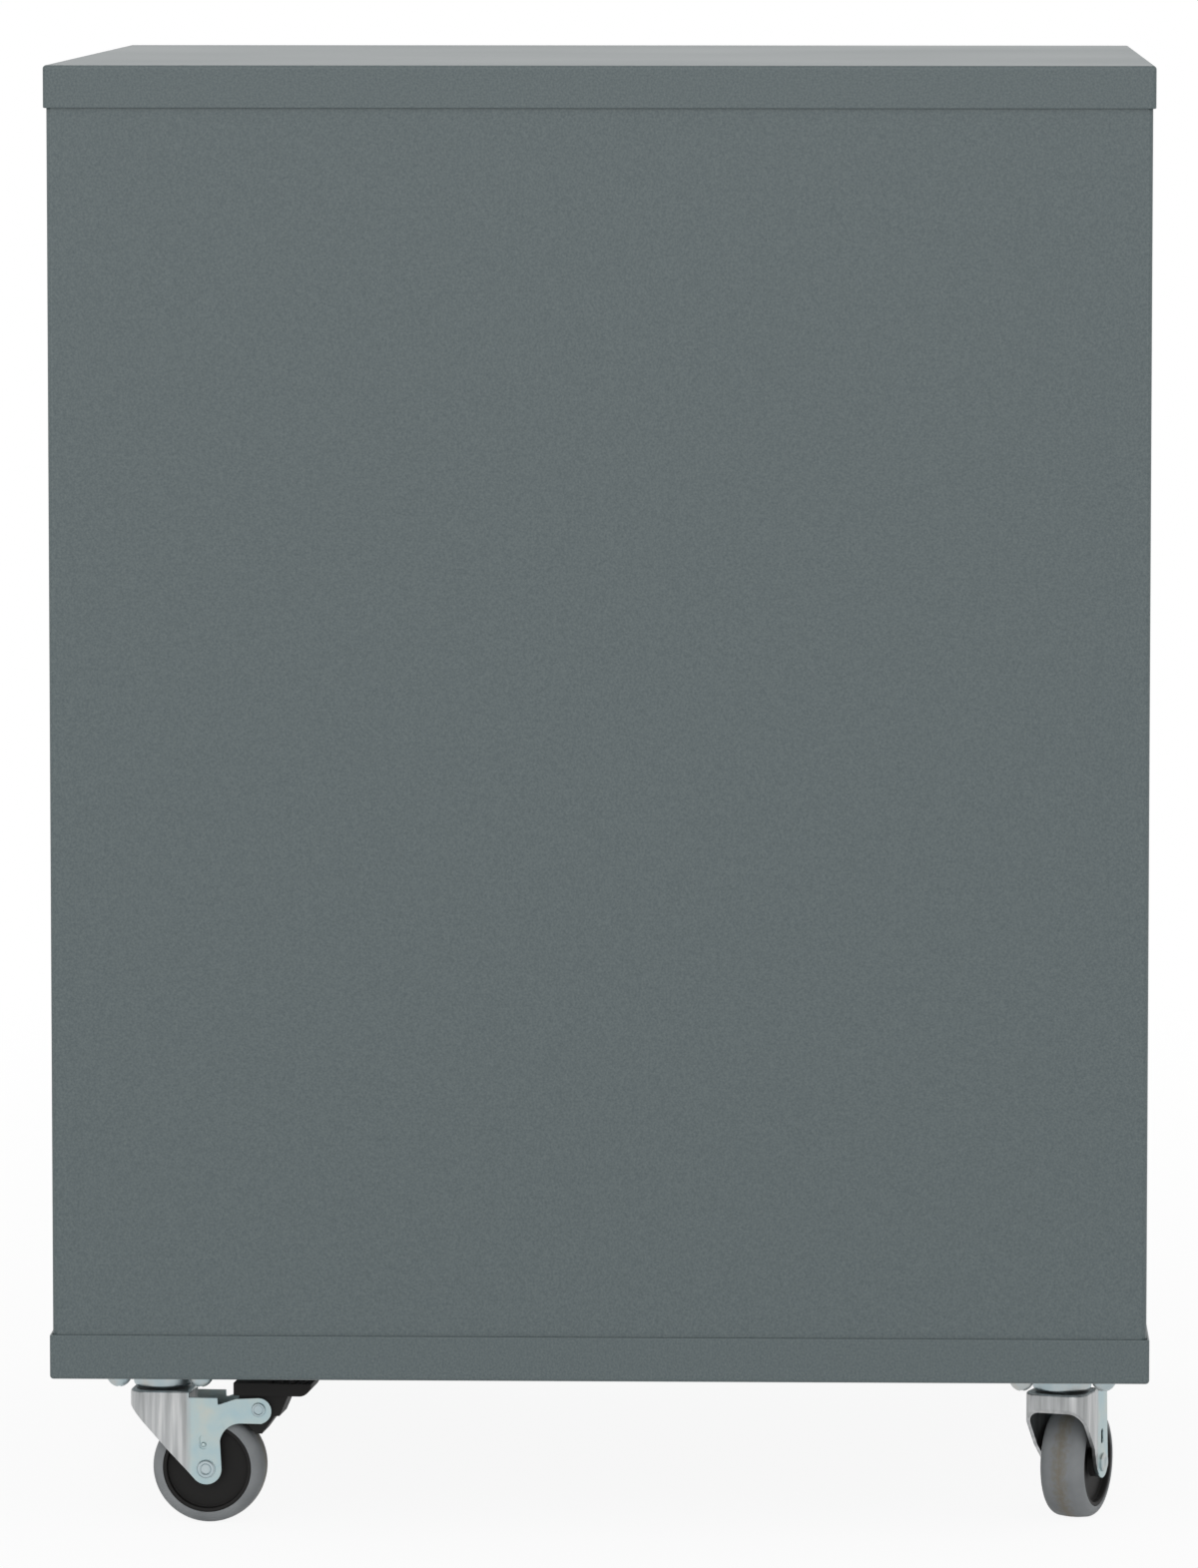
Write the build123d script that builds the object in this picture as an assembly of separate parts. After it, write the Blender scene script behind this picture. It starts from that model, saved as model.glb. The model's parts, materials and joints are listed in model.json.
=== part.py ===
from build123d import *
import os
from math import cos, radians, sin

# Two-drawer steel filing cabinet on four swivel casters, the front pair braked.
# It faces -Y and stands on Z = 0 with its centre over the origin. Sizes are in millimetres.

# Carcass: folded shell, cap pan over it and base tray under it.
cabinet_width = 470.0
cabinet_depth = 480.0
carcass_height = 573.0
sheet = 1.2
slip_gap = 0.1
pan_corner = 1.6
pan_edge = 0.55
fold_radius = 2.2
cap_skirt = 18.5
base_skirt = 19.5
face_flange = 25.0
face_return = 12.0
top_rail_face = 28.0
top_rail_return = 14.0
middle_rail_reach = 20.0
upright_width = 30.0
rear_upright_inset = 15.0
upright_foot_gap = 2.0

# Drawers: flush front pan, box behind it, recessed pull and rails for hanging files.
drawer_count = 2
drawer_sheet = 1.0
front_gap = 3.0
front_side_gap = 2.0
front_depth = 18.0
box_lift = 6.5
box_drop = 8.0
box_rear_gap = 25.0
travel_clearance = 1.5
hanging_rail_wall = 1.2
hanging_rail_height = 14.0
hanging_rail_inset = 12.0
pull_width = 130.0
pull_height = 36.0
pull_depth = 15.0
pull_drop = 48.0
pull_wall = 1.2
pull_flange = 4.0
pull_flange_thickness = 1.0
pull_lip = 12.0
pull_corner = 6.0

# Telescopic runners: outer, middle and inner member with ball cages between.
runner_height = 45.0
runner_thickness = 12.7
runner_sheet = 1.2
runner_back_gap = 1.0
runner_lip_gap = 1.7
runner_lift = 95.0
runner_rear_gap = 45.0
runner_seat_gap = 0.3
ball_space = 2.4
cage_width = 5.0
cage_length = 140.0
cage_end_gap = 10.0
running_gap = 0.3

# Lock: barrel in the top rail, plug with cam, and a bar that lifts to hold both drawers.
lock_inset = 20.5
barrel_radius = 9.0
barrel_flange_radius = 11.0
barrel_flange = 1.0
plug_radius = 6.0
plug_fit = 0.05
plug_recess = 0.3
keyway_width = 1.4
keyway_height = 7.5
keyway_depth = 6.0
cam_thickness = 2.0
cam_pin_radius = 2.5
cam_throw = 10.0
cam_rest_angle = -45.0
cam_rim = 2.0
slot_play = 0.6
bar_thickness = 2.0
bar_width = 14.0
bar_side_gap = 2.3
bar_front_gap = 1.5
lock_space = 14.0
finger_height = 4.0
finger_tip_gap = 3.3
catch_reach = 10.0
catch_sheet = 1.5
catch_lip = 15.0
catch_gap = 1.2
catch_drop = 10.0
catch_rest_gap = 2.0
keeper_height = 12.0
keeper_offset = 50.0

# Casters: plate with dished race, stamped fork, wheel, and a pedal on the front pair.
wheel_diameter = 50.0
tyre_width = 20.0
tyre_depth = 5.3
tyre_shoulder = 4.8
tread_crown = 1.4
hub_boss_radius = 6.5
hub_overhang = 0.2
hub_rim = 1.8
hub_dish = 3.0
axle_radius = 3.0
axle_fit = 0.05
rivet_head_radius = 4.1
rivet_head = 1.2
rivet_dimple_radius = 2.6
rivet_dimple = 0.6
trail = 21.0
fork_sheet = 1.8
fork_side_gap = 0.3
crown_clearance = 7.8
crown_half_width = 14.2
crown_front = 13.2
crown_rear = 13.5
crown_corner = 7.5
crown_edge = 1.2
crown_band = 6.8
leg_bend_run = 9.8
plain_leg_drop = 1.6
braked_leg_drop = 3.1
leg_top_rear = 26.2
leg_boss_radius = 6.9
leg_slot_length = 6.5
leg_slot_width = 3.4
leg_slot_rise = 11.9
leg_slot_lead = 1.2
slot_press = 0.8
slot_nib_radius = 1.1
slot_nib_drop = 1.2
race_gap = 0.8
race_radius = 12.6
race_drop = 6.1
race_flare = 1.2
race_edge = 1.6
plate_size = 50.0
plate_thickness = 2.5
plate_corner = 6.0
king_pin_radius = 4.0
king_pin_fit = 0.1
king_pin_head_radius = 7.0
king_pin_head = 2.5
screw_pitch = 36.0
screw_radius = 3.0
screw_fit = 0.25
screw_head_radius = 5.4
screw_head = 4.4
screw_dome_radius = 5.6
recess_length = 5.0
recess_width = 1.3
recess_depth = 2.2
nut_flats = 10.0
nut_height = 5.0
arm_reach = 23.5
arm_rise = 26.8
arm_radius = 5.7
arm_crook = 9.5
arm_root = 6.1
arm_notch = 2.8
arm_shoulder_reach = 13.5
arm_shoulder_drop = 0.2
arm_sag = 0.6
pedal_pin_radius = 2.2
pedal_pin_head_radius = 3.1
pedal_pin_head = 0.9
pedal_pin_dimple = 0.3
shoe_gap = 2.0
pedal_side_gap = 0.3
pad_half_width = 13.0
pad_inner_reach = 11.0
pad_outer_reach = 23.5
pad_underside = 6.3
pad_thickness = 5.5
pad_nose = 5.4
pad_root = 13.0
heel_reach = 9.0
heel_drop = 3.0
heel_step = 2.0
shoe_reach = 1.2
shoe_drop = 11.0
pad_rib_count = 4
pad_rib_pitch = 5.0
pad_rib_width = 1.6
pad_rib_height = 0.8

# Caster places: distance in from the cabinet's edges, and each fork's swivel angle from +X.
caster_side_inset = 42.0
caster_front_inset = 46.5
caster_rear_inset = 37.2
swivel_angle = {"front_right": 84.5, "rear_right": 160.5, "front_left": 62.0, "rear_left": 24.0}

# Levels of the caster, from the floor up to the base tray.
wheel_radius = wheel_diameter / 2
crown_underside = wheel_diameter + crown_clearance
crown_top = crown_underside + fork_sheet
race_bottom = crown_top + race_gap
plate_underside = race_bottom + race_drop
caster_height = plate_underside + plate_thickness
leg_inner = tyre_width / 2 + hub_overhang + fork_side_gap
leg_outer = leg_inner + fork_sheet
pivot_reach = trail + arm_reach
pivot_height = wheel_radius + arm_rise

# Levels and faces of the carcass.
base_floor = caster_height + sheet
cap_top = caster_height + carcass_height
shell_top = cap_top - sheet
shell_half_x = cabinet_width / 2 - sheet - slip_gap
shell_half_y = cabinet_depth / 2 - sheet - slip_gap
inner_half_x = shell_half_x - sheet
back_inner = shell_half_y - sheet
opening_half = shell_half_x - face_flange
front_face = -shell_half_y
base_edge = caster_height + base_skirt
cap_edge = cap_top - cap_skirt
rail_bottom = cap_edge - top_rail_face

# Levels and faces of the drawers and runners.
front_zone = rail_bottom - base_edge
front_height = (front_zone - (drawer_count + 1) * front_gap) / drawer_count
front_half = opening_half - front_side_gap
front_back = front_face + front_depth
liner_back = front_back + drawer_sheet
runner_seat = opening_half - runner_seat_gap
box_half = runner_seat - runner_thickness
box_rear = back_inner - box_rear_gap
runner_front = liner_back + lock_space
runner_rear = back_inner - runner_rear_gap
front_bottom = {
    "lower": base_edge + front_gap,
    "upper": base_edge + front_gap + front_height + front_gap,
}
side_sign = {"left": -1, "right": 1}

# Levels and faces of the lock.
lock_x = opening_half - lock_inset
lock_z = (rail_bottom + cap_edge) / 2
bar_front = liner_back + bar_front_gap
bar_back = bar_front + bar_thickness
bar_inner = opening_half + bar_side_gap
finger_tip = box_half + finger_tip_gap
upright_front = bar_back + running_gap


def block(x0, x1, y0, y1, z0, z1):
    """Box between two opposite corners."""
    centre = Pos((x0 + x1) / 2, (y0 + y1) / 2, (z0 + z1) / 2)
    return centre * Box(x1 - x0, y1 - y0, z1 - z0)


def upright_prism(section, z0, z1):
    """Plan section carried from one level up to another."""
    return Pos(0, 0, z0) * extrude(section, z1 - z0)


def lengthwise_prism(section, y0, y1):
    """Front-view section (x, z) carried from y0 back to y1."""
    return Pos(0, y1, 0) * extrude(Plane.XZ * section, y1 - y0)


def turned(points):
    """Solid of revolution about Z from (radius, height) points."""
    return revolve(Plane.XZ * make_face(Polyline(*points, close=True)), Axis.Z)


def rect(x0, x1, y0, y1):
    """Flat rectangle between two opposite corners."""
    return Pos((x0 + x1) / 2, (y0 + y1) / 2) * Rectangle(x1 - x0, y1 - y0)


def save(name, shape):
    export_step(shape, f"parts/{name}.step")


def box_bottom(drawer):
    return front_bottom[drawer] + box_lift


def box_top(drawer):
    return front_bottom[drawer] + front_height - box_drop


def catch_top(drawer):
    return box_top(drawer) - catch_drop


def finger_top(drawer):
    return catch_top(drawer) - catch_lip - catch_rest_gap


def body_shell():
    """Sides and back folded from one sheet, front edges turned in and back again."""
    outer = RectangleRounded(2 * shell_half_x, 2 * shell_half_y, fold_radius)
    inner = RectangleRounded(2 * inner_half_x, 2 * back_inner, fold_radius - sheet)
    mouth = rect(-opening_half, opening_half, front_face - sheet, front_face + 2 * sheet)
    section = outer - inner - mouth
    for sign in side_sign.values():
        edges = sorted((sign * opening_half, sign * (opening_half + sheet)))
        section += rect(*edges, front_face, front_face + face_return)
    return upright_prism(section, base_floor, shell_top)


def pan(skirt):
    """Shallow folded pan with its flat face up at Z = 0 and its skirt hanging below, free edge rounded."""
    outer = RectangleRounded(cabinet_width, cabinet_depth, pan_corner)
    inner = RectangleRounded(cabinet_width - 2 * sheet, cabinet_depth - 2 * sheet, pan_corner - sheet)
    body = upright_prism(outer, -skirt, 0)
    body = fillet(body.faces().sort_by(Axis.Z)[-1].edges(), pan_corner)
    body -= upright_prism(inner, -skirt, -sheet)
    return fillet(body.faces().sort_by(Axis.Z)[0].edges(), pan_edge)


def caster_places():
    """Swivel axis of each caster, by name."""
    across = cabinet_width / 2 - caster_side_inset
    along = {
        "front": caster_front_inset - cabinet_depth / 2,
        "rear": cabinet_depth / 2 - caster_rear_inset,
    }
    return {f"{end}_{side}": (side_sign[side] * across, along[end]) for end in along for side in side_sign}


def square_corners(pitch):
    half = pitch / 2
    return [(x, y) for x in (-half, half) for y in (-half, half)]


def screw_points():
    """Plan positions of the four screws of every caster."""
    return [(x + dx, y + dy) for x, y in caster_places().values() for dx, dy in square_corners(screw_pitch)]


def base_tray():
    tray = Pos(0, 0, caster_height) * Rot(180, 0, 0) * pan(base_skirt)
    for x, y in screw_points():
        tray -= Pos(x, y, caster_height) * Cylinder(screw_radius + screw_fit, 4 * sheet)
    return tray


def top_rail():
    """Fascia above the drawers: face with the lock hole, lower edge folded back."""
    face = block(-opening_half, opening_half, front_face, front_face + sheet, rail_bottom, shell_top)
    fold_back = front_face + top_rail_return
    fold = block(-opening_half, opening_half, front_face, fold_back, rail_bottom, rail_bottom + sheet)
    hole = lengthwise_prism(Pos(lock_x, lock_z) * Circle(barrel_radius), front_face, front_face + sheet)
    return face + fold - hole


def middle_rail():
    """Channel between the two drawers, open to the back, welded to the front uprights."""
    z0 = box_top("lower") + hanging_rail_wall + travel_clearance
    z1 = box_bottom("upper") - travel_clearance
    y0 = upright_front + sheet
    y1 = y0 + middle_rail_reach
    channel = block(-runner_seat, runner_seat, y0, y1, z0, z1)
    return channel - block(-runner_seat, runner_seat, y0 + sheet, y1, z0 + sheet, z1 - sheet)


def upright(sign, y0):
    """Channel post: web that the runners are fixed to, flanges welded to the side."""
    y1 = y0 + upright_width
    web = sorted((sign * runner_seat, sign * inner_half_x))
    gap = sorted((sign * (runner_seat + sheet), sign * inner_half_x))
    section = rect(*web, y0, y1) - rect(*gap, y0 + sheet, y1 - sheet)
    return upright_prism(section, base_floor + nut_height + upright_foot_gap, shell_top)


def bar_keeper(z):
    """Loop on the front right upright that the lock bar slides through."""
    x0 = bar_inner - running_gap
    x1 = bar_inner + bar_width + running_gap
    y0 = bar_front - running_gap
    loop = block(x0 - sheet, x1 + sheet, y0 - sheet, upright_front, z, z + keeper_height)
    return loop - block(x0, x1, y0, upright_front, z, z + keeper_height)


def runner_levels():
    """Half heights of the three members and their places across the runner."""
    outer = runner_height / 2
    middle = outer - runner_sheet - ball_space
    inner = middle - runner_sheet - ball_space
    middle_web = runner_sheet + runner_back_gap
    inner_lip = middle_web + runner_sheet + runner_back_gap
    return outer, middle, inner, middle_web, inner_lip


def channel_section(half, a0, a1, web_first):
    """C section across a runner: web at a0 or a1, two flanges."""
    hollow0 = a0 + runner_sheet if web_first else a0
    hollow1 = a1 if web_first else a1 - runner_sheet
    return rect(a0, a1, -half, half) - rect(hollow0, hollow1, runner_sheet - half, half - runner_sheet)


def runner_members():
    """Outer, middle and inner member of the right-hand runner, its seat at X = 0 and inwards +X."""
    outer, middle, inner, middle_web, inner_lip = runner_levels()
    lip = runner_thickness - runner_lip_gap
    outer_member = channel_section(outer, 0, lip - runner_back_gap, True)
    middle_member = channel_section(middle, middle_web, lip, True)
    inner_member = channel_section(inner, inner_lip, runner_thickness, False)
    span = (runner_front, runner_rear)
    middle_solids = [lengthwise_prism(middle_member, *span)]
    cage = ball_space - running_gap
    under = middle - runner_sheet
    outer_cage_end = runner_rear - cage_end_gap
    outer_cage_start = outer_cage_end - cage_length
    inner_cage_start = runner_front + cage_end_gap
    inner_cage_end = inner_cage_start + cage_length
    cage_start = middle_web + runner_sheet
    for up in (-1, 1):
        above = sorted((up * middle, up * (middle + cage)))
        below = sorted((up * under, up * (under - cage)))
        above_section = rect(cage_start, cage_start + cage_width, *above)
        below_section = rect(inner_lip, inner_lip + cage_width, *below)
        middle_solids.append(lengthwise_prism(above_section, outer_cage_start, outer_cage_end))
        middle_solids.append(lengthwise_prism(below_section, inner_cage_start, inner_cage_end))
    return {
        "outer": [lengthwise_prism(outer_member, *span)],
        "middle": middle_solids,
        "inner": [lengthwise_prism(inner_member, *span)],
    }


def runner_place(solid, side, z):
    """Carry a right-hand runner solid to its seat, mirrored for the left side."""
    seated = Pos(runner_seat, 0, z) * mirror(solid, Plane.YZ)
    return seated if side == "right" else mirror(seated, Plane.YZ)


def drawer_front(drawer):
    """Pan with a rounded front edge and the cut-out for the pull."""
    z0 = front_bottom[drawer]
    z1 = z0 + front_height
    skin = block(-front_half, front_half, front_face, front_back, z0, z1)
    skin = fillet(skin.faces().sort_by(Axis.Y)[0].edges(), pan_corner)
    hollow = block(
        sheet - front_half, front_half - sheet, front_face + sheet, front_back, z0 + sheet, z1 - sheet
    )
    cut = lengthwise_prism(Pos(0, z1 - pull_drop) * pull_outline(slip_gap), front_face, front_back)
    return skin - hollow - cut


def pull_outline(grow):
    return RectangleRounded(pull_width + 2 * grow, pull_height + 2 * grow, pull_corner)


def pull_cup(drawer):
    """Pressed cup behind a thin flange, with a lip over its upper part to hook the fingers on."""
    z = front_bottom[drawer] + front_height - pull_drop
    outside = Pos(0, z) * pull_outline(0)
    inside = Pos(0, z) * pull_outline(-pull_wall)
    flange_face = front_face - pull_flange_thickness
    body = lengthwise_prism(outside, front_face, front_face + pull_depth)
    body += lengthwise_prism(Pos(0, z) * pull_outline(pull_flange), flange_face, front_face)
    body -= lengthwise_prism(inside, front_face, front_face + pull_depth - pull_wall)
    lip_edge = z + pull_height / 2 - pull_wall - pull_lip
    mouth = inside & rect(-pull_width, pull_width, z - pull_height, lip_edge)
    return body - lengthwise_prism(mouth, flange_face, front_face)


def drawer_box(drawer):
    """Open-topped box with a front wall as wide as the front pan, and a welded tab for the lock."""
    z0 = box_bottom(drawer)
    z1 = box_top(drawer)
    inner_half = box_half - drawer_sheet
    tray = block(-box_half, box_half, front_back, box_rear, z0, z1)
    tray -= block(-inner_half, inner_half, liner_back, box_rear - drawer_sheet, z0 + drawer_sheet, z1)
    wall = block(-front_half, front_half, front_back, liner_back, z0, z1)
    tab_front = bar_back + catch_gap
    top = catch_top(drawer)
    tab = block(box_half, box_half + catch_reach, tab_front, tab_front + catch_sheet, top - catch_lip, top)
    return [tray + wall, tab]


def hanging_rails(drawer):
    """Inverted channels clipped over the side walls, for the hooks of hanging files."""
    z1 = box_top(drawer)
    y0 = liner_back + hanging_rail_inset
    y1 = box_rear - hanging_rail_inset
    inner0 = box_half - drawer_sheet - slip_gap
    inner1 = box_half + slip_gap
    z0 = z1 - hanging_rail_height
    section = rect(inner0 - hanging_rail_wall, inner1 + hanging_rail_wall, z0, z1 + hanging_rail_wall)
    section -= rect(inner0, inner1, z0, z1)
    rail = lengthwise_prism(section, y0, y1)
    return [rail, mirror(rail, Plane.YZ)]


def lock_barrel():
    flange = Circle(barrel_flange_radius) - Circle(plug_radius + plug_fit)
    sleeve = Circle(barrel_radius) - Circle(plug_radius + plug_fit)
    place = Pos(lock_x, lock_z)
    front = lengthwise_prism(place * flange, front_face - barrel_flange, front_face)
    return front + lengthwise_prism(place * sleeve, front_face, cam_front() - running_gap)


def cam_front():
    """Front face of the cam, which turns just ahead of the lock bar."""
    return bar_front - running_gap - cam_thickness


def lock_plug():
    place = Pos(lock_x, lock_z)
    face = front_face - barrel_flange + plug_recess
    plug = lengthwise_prism(place * Circle(plug_radius), face, cam_front())
    return plug - lengthwise_prism(place * Rectangle(keyway_width, keyway_height), face, face + keyway_depth)


def cam_pin_point():
    angle = radians(cam_rest_angle)
    return lock_x + cam_throw * cos(angle), lock_z + cam_throw * sin(angle)


def lock_cam():
    """Flat arm on the back of the plug, with a pin that works the bar's slot."""
    pin = Pos(*cam_pin_point())
    rims = Pos(lock_x, lock_z) * Circle(plug_radius) + pin * Circle(cam_pin_radius + cam_rim)
    arm = make_hull(rims.edges())
    back = cam_front() + cam_thickness
    plate = lengthwise_prism(arm, cam_front(), back)
    return plate + lengthwise_prism(pin * Circle(cam_pin_radius), back, bar_back)


def lock_bar():
    """Flat bar with a slotted lug for the cam and one finger for each drawer."""
    pin_x, pin_z = cam_pin_point()
    slot_half = cam_pin_radius + slot_play
    slot_start = pin_x - slot_half
    slot_end = lock_x + cam_throw + slot_half
    lug_half = slot_half + 2 * cam_rim
    low = finger_top("lower") - finger_height - keeper_height / 2
    section = rect(bar_inner, bar_inner + bar_width, low, pin_z + lug_half)
    section += rect(slot_start - cam_rim, bar_inner, pin_z - lug_half, pin_z + lug_half)
    for drawer in front_bottom:
        section += rect(finger_tip, bar_inner, finger_top(drawer) - finger_height, finger_top(drawer))
    section -= rect(slot_start, slot_end, pin_z - slot_half, pin_z + slot_half)
    return lengthwise_prism(section, bar_front, bar_back)


def caster_plate():
    """Square plate with a dished race under its middle, its lower rim rounded."""
    outline = RectangleRounded(plate_size, plate_size, plate_corner)
    plate = upright_prism(outline, plate_underside, caster_height)
    dish = make_face(
        Polyline(
            (0, race_bottom),
            (race_radius, race_bottom),
            (race_radius + race_flare, plate_underside),
            (0, plate_underside),
            close=True,
        )
    )
    lower_rim = dish.vertices().group_by(Axis.Y)[0].sort_by(Axis.X)[-1:]
    plate += revolve(Plane.XZ * fillet(lower_rim, race_edge), Axis.Z)
    plate -= Pos(0, 0, race_bottom) * Cylinder(king_pin_radius, 4 * race_drop)
    for x, y in square_corners(screw_pitch):
        plate -= Pos(x, y, caster_height) * Cylinder(screw_radius + screw_fit, 4 * plate_thickness)
    return plate


def king_pin():
    """Rivet that holds the fork under the plate, with running room round the crown."""
    head_top = crown_underside - running_gap
    return turned(
        [
            (0, head_top - king_pin_head),
            (king_pin_head_radius, head_top - king_pin_head),
            (king_pin_head_radius, head_top),
            (king_pin_radius, head_top),
            (king_pin_radius, caster_height),
            (0, caster_height),
        ]
    )


def caster_screw():
    """Domed screw head with a cross recess, under the plate, and shank up through plate, tray and nut."""
    tip = base_floor + nut_height
    crown = (0, plate_underside - screw_head)
    rim = (screw_head_radius, plate_underside)
    dome = RadiusArc(crown, rim, -screw_dome_radius)
    body = Polyline(rim, (screw_radius, plate_underside), (screw_radius, tip), (0, tip), crown)
    screw = revolve(Plane.XZ * make_face([*dome.edges(), *body.edges()]), Axis.Z)
    for turn in (0, 90):
        recess = Box(recess_length, recess_width, 2 * recess_depth)
        screw -= Pos(0, 0, plate_underside - screw_head) * Rot(0, 0, turn) * recess
    return screw


def caster_nut():
    section = RegularPolygon(nut_flats / 2, 6, major_radius=False) - Circle(screw_radius)
    return upright_prism(section, base_floor, base_floor + nut_height)


def fork_plan(grow, rear):
    """Plan of the fork's outside, or of its inside when grow is minus the sheet."""
    leg = leg_outer + grow
    crown = crown_half_width + grow
    front = -crown_front - grow
    bend_end = crown_rear
    bend_start = crown_rear - leg_bend_run
    half = [(rear, leg), (bend_end, leg), (bend_start, crown), (front, crown)]
    mirrored = [(u, -v) for u, v in reversed(half)]
    face = make_face(Polyline(*half, *mirrored, close=True))
    corners = face.vertices().sort_by(Axis.X)[:2]
    return fillet(corners, crown_corner + grow)


def fork_side(braked):
    """Side outline: crown, front edge slanting to the axle boss, and the pedal's arm on a braked fork."""
    leg_top = crown_top - (braked_leg_drop if braked else plain_leg_drop)
    boss = Pos(trail, wheel_radius) * Circle(leg_boss_radius)
    head = Polyline(
        (-crown_front, crown_top - crown_band),
        (-crown_front, leg_top),
        (leg_top_rear, leg_top),
    )
    outline = make_hull(boss.edges() + head.edges())
    outline += rect(-crown_front, crown_rear, crown_top - crown_band, crown_top)
    if not braked:
        return outline
    root_u = trail + arm_root
    crook_u = root_u + arm_crook
    tip_z = pivot_height - arm_sag
    arm_low = tip_z - arm_radius
    crook_z = arm_low - arm_crook
    tip = Pos(pivot_reach, tip_z) * Circle(arm_radius)
    notch_z = leg_top - arm_notch
    shoulder = (trail + arm_shoulder_reach, leg_top - arm_shoulder_drop)
    root = Polyline((root_u, crook_z), (root_u, notch_z), shoulder)
    arm = make_hull(tip.edges() + root.edges())
    arm += rect(trail, root_u, crook_z, notch_z)
    arm -= rect(crook_u, 2 * pivot_reach, crook_z - arm_crook, arm_low)
    arm -= Pos(crook_u, crook_z) * Circle(arm_crook)
    return outline + arm


def fork(braked):
    """Stamped fork: crown plate, front band and two legs bent from one sheet, a slot in each leg.

    The slot is pressed blind round a nib on a braked fork, and goes through on a plain one.
    """
    rear = pivot_reach + 2 * arm_radius
    wall = upright_prism(fork_plan(0, rear) - fork_plan(-fork_sheet, rear), 0, crown_top)
    reach = 2 * crown_half_width
    legs = wall & extrude(Plane.XZ * fork_side(braked), reach, both=True)
    crown_zone = fork_plan(0, rear) & rect(-2 * crown_front, crown_rear, -reach, reach)
    shape = legs + upright_prism(crown_zone, crown_underside, crown_top)
    shape = fillet(shape.faces().sort_by(Axis.Z)[-1].edges(), crown_edge)
    shape -= Pos(0, 0, crown_top) * Cylinder(king_pin_radius + king_pin_fit, 4 * fork_sheet)
    slot_place = Pos(trail - leg_slot_lead, wheel_radius + leg_slot_rise)
    slot = slot_place * Rot(0, 0, 90) * SlotOverall(leg_slot_length, leg_slot_width)
    side_cuts = Pos(trail, wheel_radius) * Circle(axle_radius)
    if braked:
        side_cuts += Pos(pivot_reach, pivot_height) * Circle(pedal_pin_radius)
        nib = slot_place * Pos(0, -slot_nib_drop) * Circle(slot_nib_radius)
        pressed = extrude(Plane.XZ * (slot - nib), reach, both=True)
        floor = leg_outer - slot_press
        shape -= pressed - block(0, rear, -floor, floor, 0, crown_top)
    else:
        side_cuts += slot
    return shape - extrude(Plane.XZ * side_cuts, reach, both=True)


def crosswise(solid, u, z):
    """Stand a solid turned about Z along the axle direction, at a point of the side view."""
    return Pos(u, 0, z) * Rot(90, 0, 0) * solid


def rivet(radius, head_radius, head, dimple_radius, dimple):
    """Plain pin across the fork, headed outside both legs, each head dimpled by the press."""
    end = leg_outer + head
    half = [
        (0, end - dimple),
        (dimple_radius - dimple, end - dimple),
        (dimple_radius, end),
        (head_radius - dimple, end),
        (head_radius, end - dimple),
        (head_radius, leg_outer),
        (radius, leg_outer),
    ]
    return turned(half + [(r, -z) for r, z in reversed(half)])


def wheel_hub():
    """Moulded hub: boss on the axle, dished web and a rim under the tyre."""
    bore = axle_radius + axle_fit
    rim = wheel_radius - tyre_depth
    half = tyre_width / 2
    boss = half + hub_overhang
    web = half - hub_dish
    section = [
        (bore, boss),
        (hub_boss_radius, boss),
        (hub_boss_radius, web),
        (rim - hub_rim, web),
        (rim - hub_rim, half - hub_overhang),
        (rim, half - hub_overhang),
    ]
    return turned(section + [(r, -z) for r, z in reversed(section)])


def wheel_tyre():
    """Soft tyre with a crowned tread and rounded shoulders, moulded on the rim."""
    rim = wheel_radius - tyre_depth
    half = tyre_width / 2
    side = wheel_radius - tread_crown
    tread = ThreePointArc((side, -half), (wheel_radius, 0), (side, half))
    walls = Polyline((side, half), (rim, half), (rim, -half), (side, -half))
    section = make_face([*tread.edges(), *walls.edges()])
    shoulders = section.vertices().sort_by(Axis.X)[-2:]
    return revolve(Plane.XZ * fillet(shoulders, tyre_shoulder), Axis.Z)


def pedal():
    """Moulded pedal: ribbed pad over the arms, body between them, shoe curved to the tyre."""
    pad0 = pivot_reach - pad_inner_reach
    pad1 = pivot_reach + pad_outer_reach
    low = pivot_height + pad_underside
    high = low + pad_thickness
    pad = rect(pad0, pad1, low, high)
    pad = fillet(pad.vertices().group_by(Axis.X)[-1].sort_by(Axis.Y)[:1], pad_nose)
    shoe_z = pivot_height - shoe_drop
    heel_z = pivot_height - heel_drop
    body = make_face(
        Polyline(
            (pad0 + heel_step, low),
            (pivot_reach + pad_root, low),
            (pivot_reach + heel_reach, heel_z),
            (pivot_reach + heel_reach - heel_step, heel_z),
            (pivot_reach + shoe_reach, shoe_z),
            (pad0 + heel_step, shoe_z),
            close=True,
        )
    )
    body -= Pos(trail, wheel_radius) * Circle(wheel_radius + shoe_gap)
    body_half = leg_inner - pedal_side_gap
    shape = extrude(Plane.XZ * body, body_half, both=True)
    shape += extrude(Plane.XZ * pad, pad_half_width, both=True)
    for index in range(pad_rib_count):
        u = pad1 - pad_rib_pitch * (index + 0.5)
        rib = rect(u - pad_rib_width, u, high, high + pad_rib_height)
        shape += extrude(Plane.XZ * rib, pad_half_width - pad_rib_width, both=True)
    pin_hole = Pos(pivot_reach, pivot_height) * Circle(pedal_pin_radius + axle_fit)
    return shape - extrude(Plane.XZ * pin_hole, 2 * body_half, both=True)


os.makedirs("parts", exist_ok=True)

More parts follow.
